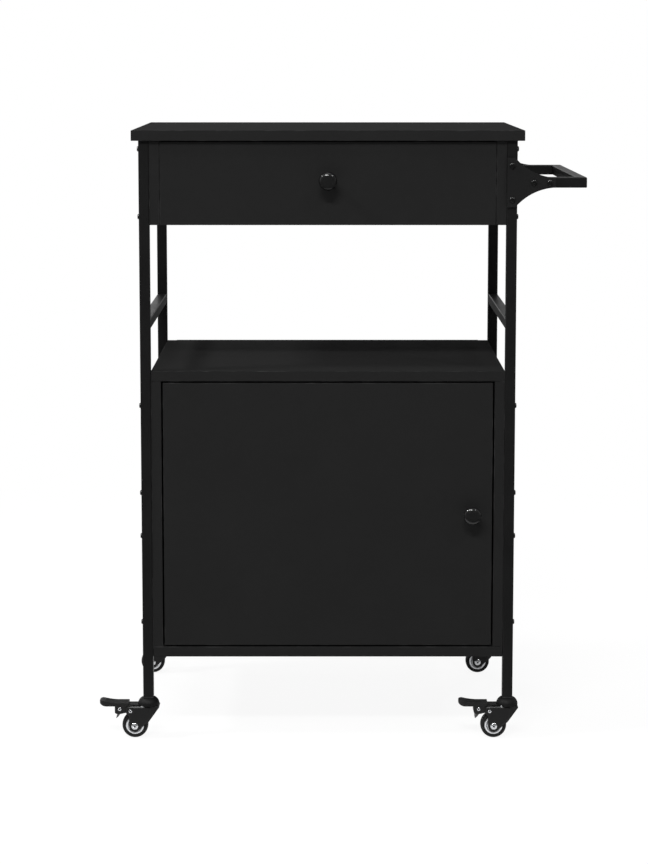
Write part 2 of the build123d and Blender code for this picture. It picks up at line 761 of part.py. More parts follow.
def brake_pedal():
    # The tread with its turned-up tip and the bar behind it, a lever down between the cheeks and a steel shoe
    sole_low = wheel_top + pedal_sole_rise
    bar_top = sole_low + pedal_bar
    tread_top = sole_low + pedal_tread
    tip_top = tread_top + pedal_curl
    tread_end = -trail - pedal_tread_reach
    heel = pedal_heel_reach - trail
    tip = (pedal_toe + pedal_curl, tip_top)
    toe_low = (pedal_toe, sole_low + pedal_under_round)
    under_toe = (pedal_toe + pedal_under_round, sole_low)
    sole = make_face([
        Polyline(
            under_toe, (heel, sole_low), (heel, bar_top), (tread_end, bar_top),
            (tread_end, tread_top), (pedal_toe + pedal_tip_length, tread_top), tip,
        ),
        RadiusArc(tip, (pedal_toe, tread_top), -pedal_curl),
        Line((pedal_toe, tread_top), toe_low),
        RadiusArc(toe_low, under_toe, -pedal_under_round),
    ])
    pedal = across(sole, pedal_width)
    pedal -= Cylinder(hat_radius + pedal_play, tip_top, align=standing)
    inside = fork_inside / 2 - pedal_play
    lever_low = wheel_top - pedal_lever_drop
    lever_front = -trail - pedal_lever_front
    for left, right, low in (
        (-trail - pedal_lever_reach, lever_front, lever_low),
        (lever_front, pedal_pivot_x, pedal_pivot_height),
        (pedal_pivot_x - pedal_hub_radius, pedal_pivot_x + pedal_hub_radius, pedal_pivot_height),
    ):
        pedal += block((left, -inside, low), (right, inside, sole_low))
    pin_length = fork_outside + 2 * pedal_pin_proud
    pedal += across(Pos(pedal_pivot_x, pedal_pivot_height) * Circle(pedal_hub_radius), 2 * inside)
    pedal += across(Pos(pedal_pivot_x, pedal_pivot_height) * Circle(pedal_pin_radius), pin_length)
    shoe_x = -trail - wheel_radius - pedal_shoe_reach
    shoe_low = wheel_radius + pedal_shoe_rise
    shoe_root = -trail - pedal_shoe_root
    shoe = Polygon(
        (shoe_x, shoe_low), (shoe_x - pedal_shoe, shoe_low),
        (shoe_root - pedal_shoe, lever_low + pedal_shoe), (shoe_root, lever_low + pedal_shoe),
        align=None,
    )
    return pedal + across(shoe, wheel_width)


# Casters under the legs, all trailing to the left, with brakes on the front pair
pieces["caster_stems"] = group(Pos(x, y, 0) * caster_stem() for x, y in corners.values())
for corner, (x, y) in corners.items():
    place = Pos(x, y, 0)
    braked = corner.startswith("front")
    pieces[f"caster_fork_{corner}"] = place * caster_fork(braked)
    pieces[f"caster_axle_{corner}"] = place * caster_axle()
    pieces[f"wheel_hub_{corner}"] = place * wheel_hub()
    pieces[f"wheel_tyre_{corner}"] = place * wheel_tyre()
    if braked:
        pieces[f"brake_pedal_{corner}"] = place * brake_pedal()

for name, tools in cuts.items():
    pieces[name] = pieces[name] - tools
for name, shape in pieces.items():
    export_step(shape.moved(Location((-origin_x, -origin_y, 0))), f"parts/{name}.step")
print(len(pieces), "pieces")
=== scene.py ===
import json
import math

import bmesh
import bpy
from mathutils import Matrix, Vector


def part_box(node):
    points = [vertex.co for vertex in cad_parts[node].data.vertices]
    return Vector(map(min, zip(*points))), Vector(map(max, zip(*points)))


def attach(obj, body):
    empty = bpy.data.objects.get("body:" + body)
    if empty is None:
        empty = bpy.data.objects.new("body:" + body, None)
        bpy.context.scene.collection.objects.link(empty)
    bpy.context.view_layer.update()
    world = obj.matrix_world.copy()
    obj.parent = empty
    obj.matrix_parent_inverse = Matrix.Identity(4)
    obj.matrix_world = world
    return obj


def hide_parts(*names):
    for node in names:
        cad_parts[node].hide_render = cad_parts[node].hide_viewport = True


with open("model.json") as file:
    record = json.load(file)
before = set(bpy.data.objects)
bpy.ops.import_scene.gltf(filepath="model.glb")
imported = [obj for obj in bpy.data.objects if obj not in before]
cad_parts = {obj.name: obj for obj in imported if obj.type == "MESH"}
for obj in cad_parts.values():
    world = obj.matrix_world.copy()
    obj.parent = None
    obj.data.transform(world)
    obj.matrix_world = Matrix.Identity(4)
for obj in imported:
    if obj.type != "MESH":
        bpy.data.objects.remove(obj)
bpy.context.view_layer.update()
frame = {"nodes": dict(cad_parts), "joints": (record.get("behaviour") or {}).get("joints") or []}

# Kitchen trolley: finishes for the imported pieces, formed and moulded pieces in place of the plain ones,
# and the studio that they stand in. Places and finishes are in metres, in the frame's own axes.
# Shapes are in mm, from the place where their piece is put.

nodes = frame["nodes"]
joints = {joint["name"]: joint for joint in frame["joints"]}
corners = ["front_left", "front_right", "rear_left", "rear_right"]
mm = 0.001
middle = (0.0, 0.0, 0.0)
front = (0.0, -1.0, 0.0)
back = (0.0, 1.0, 0.0)
up = (0.0, 0.0, 1.0)


class Wire:
    # a socket of a shader tree, so that shader maths is written as an expression
    def __init__(self, tree, socket=None):
        self.tree = tree
        self.socket = socket

    def node(self, kind, settings=None, sockets=None, output=0):
        made = self.tree.nodes.new(kind)
        for name, value in (settings or {}).items():
            setattr(made, name, value)
        for name, value in (sockets or {}).items():
            if isinstance(value, Wire):
                self.tree.links.new(value.socket, made.inputs[name])
            else:
                made.inputs[name].default_value = value
        return Wire(self.tree, made.outputs[output])

    def beside(self, output):
        # another output of the same node
        return Wire(self.tree, self.socket.node.outputs[output])

    def maths(self, operation, first, second=0.0):
        return self.node("ShaderNodeMath", {"operation": operation}, {0: first, 1: second})

    def __add__(self, other):
        return self.maths("ADD", self, other)

    def __sub__(self, other):
        return self.maths("SUBTRACT", self, other)

    def __rsub__(self, other):
        return self.maths("SUBTRACT", other, self)

    def __mul__(self, other):
        return self.maths("MULTIPLY", self, other)

    def __abs__(self):
        return self.maths("ABSOLUTE", self)

    __radd__ = __add__
    __rmul__ = __mul__

    def least(self, other):
        return self.maths("MINIMUM", self, other)

    def most(self, other):
        return self.maths("MAXIMUM", self, other)

    def ramp(self, low, high, start=0.0, end=1.0):
        # start below low, end above high, and a smooth step between them
        return self.node(
            "ShaderNodeMapRange",
            {"interpolation_type": "SMOOTHSTEP"},
            {"Value": self, "From Min": low, "From Max": high, "To Min": start, "To Max": end},
        )

    def tint(self, first, second):
        # this value mixes two colours, which are sockets 6 and 7 of a colour mix; its result is output 2
        return self.node("ShaderNodeMix", {"data_type": "RGBA"}, {0: self, 6: first, 7: second}, 2)


noiseDetail = {"plain": 1.0, "fine": 2.0, "cloudy": 3.0, "patchy": 4.0}
noiseMiddle = 0.5
unstretched = (1.0, 1.0, 1.0)


def grain(wire, size, detail, stretch=unstretched):
    # noise from 0 to 1 whose blotches are about that many metres across
    place = wire.node("ShaderNodeTexCoord", output="Object")
    if stretch != unstretched:
        place = wire.node("ShaderNodeMapping", sockets={"Vector": place, "Scale": stretch})
    return wire.node(
        "ShaderNodeTexNoise", sockets={"Vector": place, "Scale": 1 / size, "Detail": noiseDetail[detail]}
    )


def sway(wire, size, detail, stretch=unstretched):
    # the same noise, above and below zero
    return grain(wire, size, detail, stretch) - noiseMiddle


def edgeDistance(wire, low, high):
    # how far a point on a box-shaped piece is from the nearest of the box's edges
    place = wire.node("ShaderNodeTexCoord", output="Object")
    parts = wire.node("ShaderNodeSeparateXYZ", sockets={0: place})
    inside = []
    for axis in range(3):
        along = parts.beside(axis)
        inside.append((high[axis] - low[axis]) / 2 - abs(along - (low[axis] + high[axis]) / 2))
    x, y, z = inside
    return x.least(y).most(x.most(y).least(z))


def newFinish(name, constants):
    material = bpy.data.materials.new(name)
    material.use_nodes = True
    shader = material.node_tree.nodes["Principled BSDF"]
    for socket, value in constants.items():
        shader.inputs[socket].default_value = value
    return material, Wire(material.node_tree)


def feed(material, links):
    shader = material.node_tree.nodes["Principled BSDF"]
    for socket, wire in links.items():
        material.node_tree.links.new(wire.socket, shader.inputs[socket])
    return material


def bump(wire, height, depth):
    return wire.node("ShaderNodeBump", sockets={"Strength": 1.0, "Distance": depth, "Height": height})


boardLook = {
    "black": 0.0152,
    "unevenness": 0.16,
    "roughness": 0.82,
    "roughnessSpread": 0.14,
    "specular": 0.008,
    "clouds": 90 * mm,
    "specks": 0.3 * mm,
    "pearl": 0.9 * mm,          # size of the pressed pearl texture
    "pearlDepth": 0.03 * mm,
    "band": 1.0 * mm,           # thickness of the edge banding
    "seam": 0.12 * mm,
    "seamDark": 0.35,
    "seamDepth": 0.6,           # as a share of the pearl's depth
    "rubAndPaintedHighlight": 0.020,               # how much paler the edges are, partly wear and partly a painted highlight along them
    "rubAndHighlightReach": (0.3 * mm, 1.3 * mm),
    "rubAndHighlightPatches": 20 * mm,
    "rubAndHighlightLevels": (0.45, 0.75),  # noise between which a plain edge turns into a paler one, worn and with a painted highlight
    "rubPolish": 0.1,
}


def boardFinish(name, low, high, look=boardLook):
    # melamine-faced board with a pressed pearl texture and glued edge bands; its edges are paler in patches,
    # partly wear and partly a painted highlight
    material, wire = newFinish("melamine_" + name, {"Specular IOR Level": look["specular"]})
    clouds = sway(wire, look["clouds"], "cloudy")
    specks = sway(wire, look["specks"], "plain")
    pearl = sway(wire, look["pearl"], "plain")
    edge = edgeDistance(wire, low, high)
    patches = grain(wire, look["rubAndHighlightPatches"], "patchy").ramp(*look["rubAndHighlightLevels"])
    # paler patches along the edges: partly wear, partly a painted highlight that stands in for light
    # catching the edges
    rubbedAndHighlit = edge.ramp(*look["rubAndHighlightReach"], 1.0, 0.0) * patches
    seam = abs(edge - look["band"]).ramp(0.0, look["seam"], 1.0, 0.0)
    black = look["black"] * (1 + look["unevenness"] * (clouds + specks))
    rough = look["roughness"] + look["roughnessSpread"] * (clouds + pearl)
    return feed(material, {
        # the base colour adds the paler edges, which are worn and carry a painted highlight
        "Base Color": black * (1 - look["seamDark"] * seam) + look["rubAndPaintedHighlight"] * rubbedAndHighlit,
        "Roughness": rough - look["rubPolish"] * rubbedAndHighlit,
        "Normal": bump(wire, pearl - look["seamDepth"] * seam, look["pearlDepth"]),
    })


coatLook = {
    "black": 0.0085,
    "unevenness": 0.3,
    "roughness": 0.38,
    "roughnessSpread": 0.14,
    "specular": 0.10,
    "clouds": 50 * mm,
    "dust": 0.25 * mm,
    "dustDepth": 0.25,          # as a share of the peel's depth
    "peel": 1.4 * mm,           # size of the orange peel
    "peelDepth": 0.05 * mm,
}


def coatFinish(name, **changes):
    # black powder coat with a slight orange peel
    look = {**coatLook, **changes}
    material, wire = newFinish(name, {"Specular IOR Level": look["specular"]})
    peel = sway(wire, look["peel"], "plain")
    dust = sway(wire, look["dust"], "plain")
    clouds = sway(wire, look["clouds"], "cloudy")
    return feed(material, {
        "Base Color": look["black"] * (1 + look["unevenness"] * (clouds + dust)),
        "Roughness": look["roughness"] + look["roughnessSpread"] * (clouds + dust),
        "Normal": bump(wire, peel + look["dustDepth"] * dust, look["peelDepth"]),
    })


plasticLook = {
    "clouds": 12 * mm,
    "cloudDark": 0.5,           # how far clouds and sparks move the black, and then the roughness
    "sparkDark": 0.3,
    "cloudRough": 0.2,
    "sparkRough": 0.1,
}


def plasticFinish(name, black, roughness, specular, texture, depth, look=plasticLook):
    # moulded plastic or rubber with a sparked texture
    material, wire = newFinish(name, {"Specular IOR Level": specular})
    sparks = sway(wire, texture, "fine")
    clouds = sway(wire, look["clouds"], "cloudy")
    return feed(material, {
        "Base Color": black * (1 + look["cloudDark"] * clouds + look["sparkDark"] * sparks),
        "Roughness": roughness + look["cloudRough"] * clouds + look["sparkRough"] * sparks,
        "Normal": bump(wire, sparks, depth),
    })


metalLook = {
    "clouds": 15 * mm,
    "tintLevels": (0.35, 0.7),  # noise between which the pale tint turns into the deep one
    "streakRough": 0.22,
    "cloudRough": 0.15,
}
metalTints = {                  # pale and deep
    "steel": ((0.62, 0.63, 0.65, 1.0), (0.50, 0.50, 0.49, 1.0)),
    "zinc": ((0.34, 0.345, 0.355, 1.0), (0.25, 0.25, 0.26, 1.0)),
    "dark": ((0.12, 0.12, 0.12, 1.0), (0.07, 0.07, 0.07, 1.0)),
    "brass": ((0.80, 0.60, 0.28, 1.0), (0.62, 0.44, 0.18, 1.0)),
    "bright": ((0.82, 0.83, 0.85, 1.0), (0.70, 0.71, 0.73, 1.0)),
}


def metalFinish(name, tints, roughness, streak, stretch=unstretched, depth=0.01 * mm, look=metalLook):
    # plated or bare metal, with fine streaks and a cloudy tint
    material, wire = newFinish(name, {"Metallic": 1.0})
    streaks = sway(wire, streak, "cloudy", stretch)
    clouds = grain(wire, look["clouds"], "patchy")
    streaky = roughness + look["streakRough"] * streaks
    return feed(material, {
        "Base Color": clouds.ramp(*look["tintLevels"]).tint(*metalTints[tints]),
        "Roughness": streaky + look["cloudRough"] * (clouds - noiseMiddle),
        "Normal": bump(wire, streaks, depth),
    })


hardboardLook = {
    "black": (0.014, 0.014, 0.014, 1.0),
    "brown": (0.055, 0.036, 0.022, 1.0),
    "brownShare": 0.35,
    "roughness": 0.72,
    "roughnessSpread": 0.15,
    "specular": 0.2,
    "fibres": 1.6 * mm,
    "fibreDepth": 0.06 * mm,
    "flecks": 0.4 * mm,
    "fleckLevels": (0.66, 0.8),
}


def hardboardFinish(name, look=hardboardLook):
    # painted hardboard: black, with brown fibres that show through here and there
    material, wire = newFinish(name, {"Specular IOR Level": look["specular"]})
    fibres = sway(wire, look["fibres"], "patchy")
    flecks = grain(wire, look["flecks"], "fine").ramp(*look["fleckLevels"])
    return feed(material, {
        "Base Color": (look["brownShare"] * flecks).tint(look["black"], look["brown"]),
        "Roughness": look["roughness"] + look["roughnessSpread"] * fibres,
        "Normal": bump(wire, fibres, look["fibreDepth"]),
    })


finishes = {
    "drawer_board": plasticFinish(
        "drawer_foil", black=0.013, roughness=0.62, specular=0.14, texture=0.8 * mm, depth=0.03 * mm
    ),
    "hardboard": hardboardFinish("hardboard"),
    "tube": coatFinish("powder_coat_tube"),
    "bracket": coatFinish("powder_coat_bracket", black=0.0120),
    "black_bolt": coatFinish(
        "black_zinc", black=0.004, roughness=0.28, specular=0.6, peel=0.6 * mm, peelDepth=0.01 * mm
    ),
    "knob": plasticFinish(
        "gloss_knob", black=0.008, roughness=0.12, specular=0.42, texture=1.5 * mm, depth=0.003 * mm
    ),
    "runner": metalFinish("zinc_runner", "steel", roughness=0.34, streak=0.5 * mm, stretch=(1.0, 0.03, 1.0)),
    "zinc": metalFinish("zinc_plate", "zinc", roughness=0.42, streak=0.6 * mm),
    "shoe": metalFinish("shoe_steel", "dark", roughness=0.4, streak=0.5 * mm),
    "brass": metalFinish("brass", "brass", roughness=0.3, streak=0.5 * mm),
    "nylon": plasticFinish(
        "nylon", black=0.003, roughness=0.7, specular=0.05, texture=0.5 * mm, depth=0.01 * mm
    ),
    "catch": plasticFinish(
        "catch_plastic", black=0.02, roughness=0.5, specular=0.5, texture=0.5 * mm, depth=0.02 * mm
    ),
    "fork": coatFinish("fork_paint", black=0.006, roughness=0.34, specular=0.22),
    "hat": coatFinish("hat_paint", black=0.0045, roughness=0.56, specular=0.14),
    "axle": metalFinish("bright_axle", "bright", roughness=0.2, streak=0.5 * mm),
    "hub": metalFinish("bright_hub", "bright", roughness=0.30, streak=0.5 * mm, depth=0.004 * mm),
    "tyre": plasticFinish(
        "rubber", black=0.008, roughness=0.62, specular=0.2, texture=0.35 * mm, depth=0.03 * mm
    ),
    "pedal": plasticFinish(
        "pedal_plastic", black=0.010, roughness=0.52, specular=0.2, texture=0.5 * mm, depth=0.03 * mm
    ),
}
otherFinish = {"caster_stems": "black_bolt"}    # nodes that don't wear their own slot's finish
for node, piece in nodes.items():
    wears = otherFinish.get(node, piece.material_slots[0].material.name)
    if wears == "board":
        piece.material_slots[0].material = boardFinish(node, *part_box(node))
    else:
        piece.material_slots[0].material = finishes[wears]
print("finishes:", len(finishes), "shared,", len(bpy.data.materials), "in all")


bevelSteps = {"corner": 5, "edge": 3, "bend": 5, "sheet": 2, "tread": 4}
roundSteps = {"hatRivet": 24, "rivet": 32, "axle": 48, "hat": 72, "wheel": 96, "knob": 96}
levelGap = 0.01         # mm; an edge whose ends differ by less across a plate lies along its face
weldGap = 0.0005        # mm; points that are nearer than this become one
sharpAngle = 40.0       # degrees; flatter edges are shaded smooth


def ease(bm, items, offset, steps, affect="EDGES"):
    bmesh.ops.bevel(
        bm, geom=items, offset=offset, segments=bevelSteps[steps], profile=0.5, affect=affect,
        clamp_overlap=affect == "EDGES", material=-1,
    )


def easeCorners(bm, verts, points):
    # a point's third number is the rounding of its corner
    for vert, (_, _, rounding) in zip(verts, points):
        if rounding:
            ease(bm, [vert], rounding, "corner", "VERTICES")


def creases(bm, degrees):
    # the edges at which two faces meet more sharply than that
    return [item for item in bm.edges if item.is_manifold and item.calc_face_angle() > math.radians(degrees)]


def onePlate(outline, near, far, edge=0.0, flat=False, raised=None):
    # A plate from (x, z, rounding) corners seen from the front, between two places on y, with eased edges.
    # A flat one has (x, y, rounding) corners seen from above and lies between two heights.
    # The far face can stand out behind a chamfer, given as (width, height).
    bm = bmesh.new()
    verts = [bm.verts.new((x, near, z)) for x, z, _ in outline]
    bm.faces.new(verts)
    easeCorners(bm, verts, outline)
    grown = bmesh.ops.extrude_face_region(bm, geom=list(bm.faces))
    moved = [item for item in grown["geom"] if isinstance(item, bmesh.types.BMVert)]
    bmesh.ops.translate(bm, verts=moved, vec=(0.0, far - near, 0.0))
    if raised:
        width, height = raised
        bmesh.ops.recalc_face_normals(bm, faces=bm.faces)
        faces = [item for item in grown["geom"] if isinstance(item, bmesh.types.BMFace)]
        bmesh.ops.inset_region(bm, faces=faces, thickness=width, depth=height, use_even_offset=True)
    if edge:
        rims = [item for item in bm.edges if abs(item.verts[0].co.y - item.verts[1].co.y) < levelGap]
        ease(bm, rims, edge, "edge")
    if flat:
        for vert in bm.verts:
            vert.co.y, vert.co.z = vert.co.z, vert.co.y
    return bm


def turnedRound(profile, steps, centre=middle, axis=up, closed=False):
    # a round piece from (radius, place along the axis, rounding) points
    bm = bmesh.new()
    axis = Vector(axis).normalized()
    centre = Vector(centre)
    side = axis.orthogonal().normalized()
    verts = [bm.verts.new(centre + side * radius + axis * along) for radius, along, _ in profile]
    for first, second in zip(verts, verts[1:] + verts[:1] if closed else verts[1:]):
        bm.edges.new((first, second))
    easeCorners(bm, verts, profile)
    bmesh.ops.spin(
        bm, geom=list(bm.verts) + list(bm.edges), cent=centre, axis=axis, angle=2 * math.pi,
        steps=roundSteps[steps], use_merge=True,
    )
    return bm


def addPiece(name, shapes, place, material, body, hides=(), sharp=sharpAngle):
    # joins shapes in mm about a place in metres into one finished piece
    whole = bmesh.new()
    for shape in shapes:
        mesh = bpy.data.meshes.new("shape")
        shape.to_mesh(mesh)
        shape.free()
        whole.from_mesh(mesh)
        bpy.data.meshes.remove(mesh)
    bmesh.ops.remove_doubles(whole, verts=whole.verts, dist=weldGap)
    bmesh.ops.recalc_face_normals(whole, faces=whole.faces)
    bmesh.ops.transform(whole, matrix=Matrix.Translation(place) @ Matrix.Scale(mm, 4), verts=whole.verts)
    mesh = bpy.data.meshes.new(name)
    whole.to_mesh(mesh)
    whole.free()
    mesh.shade_smooth()
    mesh.set_sharp_from_angle(angle=math.radians(sharp))
    mesh.materials.append(material)
    piece = bpy.data.objects.new(name, mesh)
    bpy.context.scene.collection.objects.link(piece)
    shading = piece.modifiers.new("evenShading", "WEIGHTED_NORMAL")
    shading.keep_sharp = True
    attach(piece, body)
    if hides:
        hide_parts(*hides)


longBoards = {              # how much further the ends and the top of a board reach
    "cabinet_top": {"body": "frame", "ends": 1.3 * mm, "top": 0.0},
    "cabinet_bottom": {"body": "frame", "ends": 1.3 * mm, "top": 0.0},
    "drawer_front": {"body": "drawer", "ends": 0.6 * mm, "top": 1.6 * mm},
}
boardGrip = 1.0 * mm        # what is this near to an end or to the top moves with it


def longBoard(node, board):
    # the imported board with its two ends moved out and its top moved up
    low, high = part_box(node)
    bm = bmesh.new()
    bm.from_mesh(nodes[node].data)
    bm.transform(nodes[node].matrix_world)
    for vert in bm.verts:
        if vert.co.x < low.x + boardGrip:
            vert.co.x -= board["ends"]
        elif vert.co.x > high.x - boardGrip:
            vert.co.x += board["ends"]
        if vert.co.z > high.z - boardGrip:
            vert.co.z += board["top"]
    bmesh.ops.scale(bm, vec=(1 / mm, 1 / mm, 1 / mm), verts=bm.verts)
    ends = Vector((board["ends"], 0.0, 0.0))
    top = Vector((0.0, 0.0, board["top"]))
    finish = boardFinish("long_" + node, low - ends, high + ends + top)
    addPiece("long_" + node, [bm], Vector(middle), finish, board["body"], [node])


for node, board in longBoards.items():
    longBoard(node, board)
print("boards:", len(longBoards), "lengthened")


# Casters, in mm from the swivel's axis at the floor: x is towards the right, z is up
casterShape = {
    "cheek": 12.0,              # from the middle to the outside of a cheek
    "sheet": 2.0,
    "sheetEdge": 0.4,
    "bend": 2.4,
    "top": 49.2,
    "boss": 8.5,
    "bossArc": (-45.0, -180.0, 9),      # first angle, last angle and steps between them
    "back": [(14.6, 49.2), (16.0, 47.2), (1.0, 26.0)],
    "ear": [(-28.5, 33.5), (-32.6, 38.5), (-32.6, 46.4), (-30.2, 48.4)],
    "noseDrop": 4.0,            # a fork without a brake has a plain nose instead of the ear
    "noseTop": -24.5,
    "lip": [(-24.0, 49.1, 1.0), (4.4, 49.1, 3.6), (3.4, 30.5, 2.0)],
    "lipSink": 0.2,             # how deep a cheek's raised flat is set into it
    "lipChamfer": (1.8, 1.1),   # width of the slope round the flat, and how far the flat stands out
    "webStart": -20.4,          # the braked fork's web is open as far as here, for the lever
    "rimAngle": 60.0,
    "sharp": 25.0,              # low enough that the slope round the flat stays flat
    "hat": [
        (4.1, 60.7, 0.0), (9.6, 60.7, 2.0), (14.2, 57.0, 3.0), (15.8, 52.4, 1.6), (15.8, 49.3, 0.6),
        (13.8, 49.3, 0.5), (13.8, 52.0, 2.0), (8.8, 58.7, 0.5), (4.1, 58.7, 0.0),
    ],
    "hatRivet": (-8.6, 11.4, 48.9),     # along, out from the middle and up
    "hatRivetHead": [(1.7, 0.0, 0.0), (1.7, 0.9, 0.5), (0.9, 1.9, 0.7), (0.0, 2.0, 0.0)],
}


def forkShapes(braked, trail, axleHeight, shape=casterShape):
    # a bent sheet, with a raised flat on each cheek: two cheeks with round bosses, the web between them
    # and the slanted wall behind
    first, last, steps = shape["bossArc"]
    boss = []
    for step in range(steps + 1):
        angle = math.radians(first + (last - first) * step / steps)
        boss.append((trail + shape["boss"] * math.cos(angle), axleHeight + shape["boss"] * math.sin(angle)))
    nose = [(trail - shape["boss"], shape["top"] - shape["noseDrop"]), (shape["noseTop"], shape["top"])]
    left = shape["ear"] if braked else nose
    outline = [(shape["webStart"], shape["top"])] + shape["back"] + boss + left
    bm = bmesh.new()
    sides = []
    for y in (-shape["cheek"], shape["cheek"]):
        verts = [bm.verts.new((x, y, z)) for x, z in outline]
        bm.faces.new(verts)
        sides.append(verts)
    near, far = sides
    joining = list(range(len(shape["back"]) + 1))
    if not braked:
        joining = [-1] + joining
    bends = []
    for start, end in zip(joining, joining[1:]):
        bm.faces.new((near[start], far[start], far[end], near[end]))
        bends += [bm.edges.get((side[start], side[end])) for side in sides]
    bmesh.ops.recalc_face_normals(bm, faces=bm.faces)
    ease(bm, bends, shape["bend"], "bend")
    bmesh.ops.solidify(bm, geom=list(bm.faces), thickness=shape["sheet"])
    ease(bm, creases(bm, shape["rimAngle"]), shape["sheetEdge"], "sheet")
    lip = [(x, z, 0.0) for x, z in boss + left] + shape["lip"]
    seat = shape["cheek"] - shape["lipSink"]
    flats = [
        onePlate(lip, side * seat, side * shape["cheek"], raised=shape["lipChamfer"]) for side in (-1, 1)
    ]
    return flats + [bm]


def hatRivets(shape=casterShape):
    # one slanted head on each side, where the hat meets the web
    x, out, z = shape["hatRivet"]
    head = shape["hatRivetHead"]
    return [turnedRound(head, "hatRivet", (x, side * out, z), (0.0, side, 1.0)) for side in (-1, 1)]


wheelShape = {                  # radius, place along the axle from its middle, rounding
    "tyre": [
        (13.8, -8.3, 0.3), (15.2, -8.5, 0.8), (17.6, -8.2, 1.4), (18.9, -5.4, 1.6), (19.25, 0.0, 3.0),
        (18.9, 5.4, 1.6), (17.6, 8.2, 1.4), (15.2, 8.5, 0.8), (13.8, 8.3, 0.3),
    ],
    "hub": [
        (3.1, -9.6, 0.3), (8.0, -9.6, 0.6), (8.3, -7.2, 0.8), (9.6, -7.2, 1.0), (11.4, -8.3, 1.6),
        (13.78, -7.3, 0.3), (13.78, 7.3, 0.3),
        (11.4, 8.3, 1.6), (9.6, 7.2, 1.0), (8.3, 7.2, 0.8), (8.0, 9.6, 0.6), (3.1, 9.6, 0.3),
    ],
}
axleShape = {
    "radius": 2.95,
    "shank": 12.0,              # half its length between the two heads
    "head": [
        (0.0, 13.0, 0.0), (1.2, 13.0, 0.3), (1.6, 14.4, 0.3), (3.1, 14.3, 1.4), (5.3, 13.0, 1.0),
        (5.3, 12.0, 0.2),
    ],
}


def axleBolt(shape=axleShape):
    # a shank with a domed and dimpled head at each end
    nearHead = [(radius, -along, rounding) for radius, along, rounding in shape["head"]]
    shank = [(shape["radius"], side * shape["shank"], 0.0) for side in (-1, 1)]
    return turnedRound(nearHead + shank + shape["head"][::-1], "axle", axis=front)


pedalShape = {
    "lever": 9.6,               # half the width of the lever between the cheeks
    "tread": [(-29.0, -9.8, 0.8), (-29.0, 9.8, 0.8), (-72.0, 9.8, 7.0), (-72.0, -9.8, 7.0)],
    "treadStart": -29.0,
    "treadEnd": -72.0,
    "treadSteps": 22,
    "treadLow": 48.2,
    "treadTop": 54.0,
    "toeRise": (-45.0, 4.4, 1.7),       # where the top starts to rise, how far it rises and how steadily
    "toeUnder": (-62.0, 3.6, 2.0),      # the same for the rounded underside
    "toeOver": (-67.0, -1.5, 2.0),      # and for the drop over the tip
    "treadEdge": 1.6,
    "treadRibs": [-6.4, -2.2, 2.2, 6.4],
    "treadRibEnds": (-31.0, -63.5),
    "treadRibRise": 0.5,
    "rimAngle": 50.0,
    "bar": (49.5, 50.7),        # underside and top of the strip between the tread and the hat
    "barHalf": 8.6,
    "barStart": -32.0,
    "barCorner": 0.5,
    "barRib": [(-28.6, 50.0, 0.0), (-28.6, 51.2, 0.4), (-17.2, 51.2, 0.4), (-17.2, 50.0, 0.0)],
    "barRibs": [-4.6, 4.6],
    "ribHalf": 0.8,
    "ribCorner": 0.3,
    "ribEdge": 0.3,
    "hatRoom": 16.3,            # radius of the strip's hollow end, clear of the hat
    "hatSteps": 12,
    "arm": [
        (-39.0, 50.2, 0.0), (-49.6, 50.2, 0.0), (-49.6, 38.6, 1.4), (-47.6, 36.8, 1.2), (-40.2, 36.8, 1.5),
        (-35.0, 38.3, 2.0), (-29.5, 38.7, 1.0), (-24.5, 38.4, 2.4), (-22.6, 43.6, 2.4), (-23.0, 50.2, 0.0),
    ],
    "armEdge": 0.6,
    "shoe": [(-40.4, 38.4, 0.3), (-44.0, 33.2, 0.8), (-47.9, 29.9, 0.8), (-45.6, 38.4, 0.5)],
    "shoeHalf": 8.4,
    "shoeEdge": 0.25,
    "rivets": [(-42.3, 44.2, 9.4), (-26.2, 42.0, 12.9)],    # along, up and out from the middle
    "rivetHead": [
        (2.6, 0.0, 0.0), (2.6, 0.5, 0.35), (1.7, 1.0, 0.5), (1.2, 0.9, 0.2), (0.9, 0.1, 0.2),
        (0.0, 0.1, 0.0),
    ],
}


def easedBy(x, start, amount, power, end=pedalShape["treadEnd"]):
    # nothing up to the start, then growing to the whole amount at the tread's end
    return amount * max(0.0, (start - x) / (start - end)) ** power


def bentPlate(plan, low, high, edge, shape=pedalShape):
    # a plate of that plan, cut across in steps, whose underside and top follow two functions of x
    under, over = 0.0, 1.0      # heights before it is bent
    bm = onePlate(plan, under, over, flat=True)
    length = shape["treadEnd"] - shape["treadStart"]
    for step in range(1, shape["treadSteps"]):
        cut = (shape["treadStart"] + length * step / shape["treadSteps"], 0.0, 0.0)
        whole = list(bm.verts) + list(bm.edges) + list(bm.faces)
        bmesh.ops.bisect_plane(bm, geom=whole, plane_co=cut, plane_no=(1.0, 0.0, 0.0))
    for vert in bm.verts:
        vert.co.z = high(vert.co.x) if vert.co.z > (under + over) / 2 else low(vert.co.x)
    ease(bm, creases(bm, shape["rimAngle"]), edge, "tread")
    return bm


def treadShapes(shape=pedalShape):
    # the tread with its round turned-up toe, and the ribs along its top
    def low(x):
        return shape["treadLow"] + easedBy(x, *shape["toeUnder"])

    def top(x):
        return shape["treadTop"] + easedBy(x, *shape["toeRise"]) + easedBy(x, *shape["toeOver"])

    def ribTop(x):
        return top(x) + shape["treadRibRise"]

    def ribLow(x):
        return top(x) - shape["treadRibRise"]

    shapes = [bentPlate(shape["tread"], low, top, shape["treadEdge"])]
    start, end = shape["treadRibEnds"]
    corner = shape["ribCorner"]
    for y in shape["treadRibs"]:
        near, far = y - shape["ribHalf"], y + shape["ribHalf"]
        plan = [(start, near, corner), (start, far, corner), (end, far, corner), (end, near, corner)]
        shapes.append(bentPlate(plan, ribLow, ribTop, shape["ribEdge"]))
    return shapes


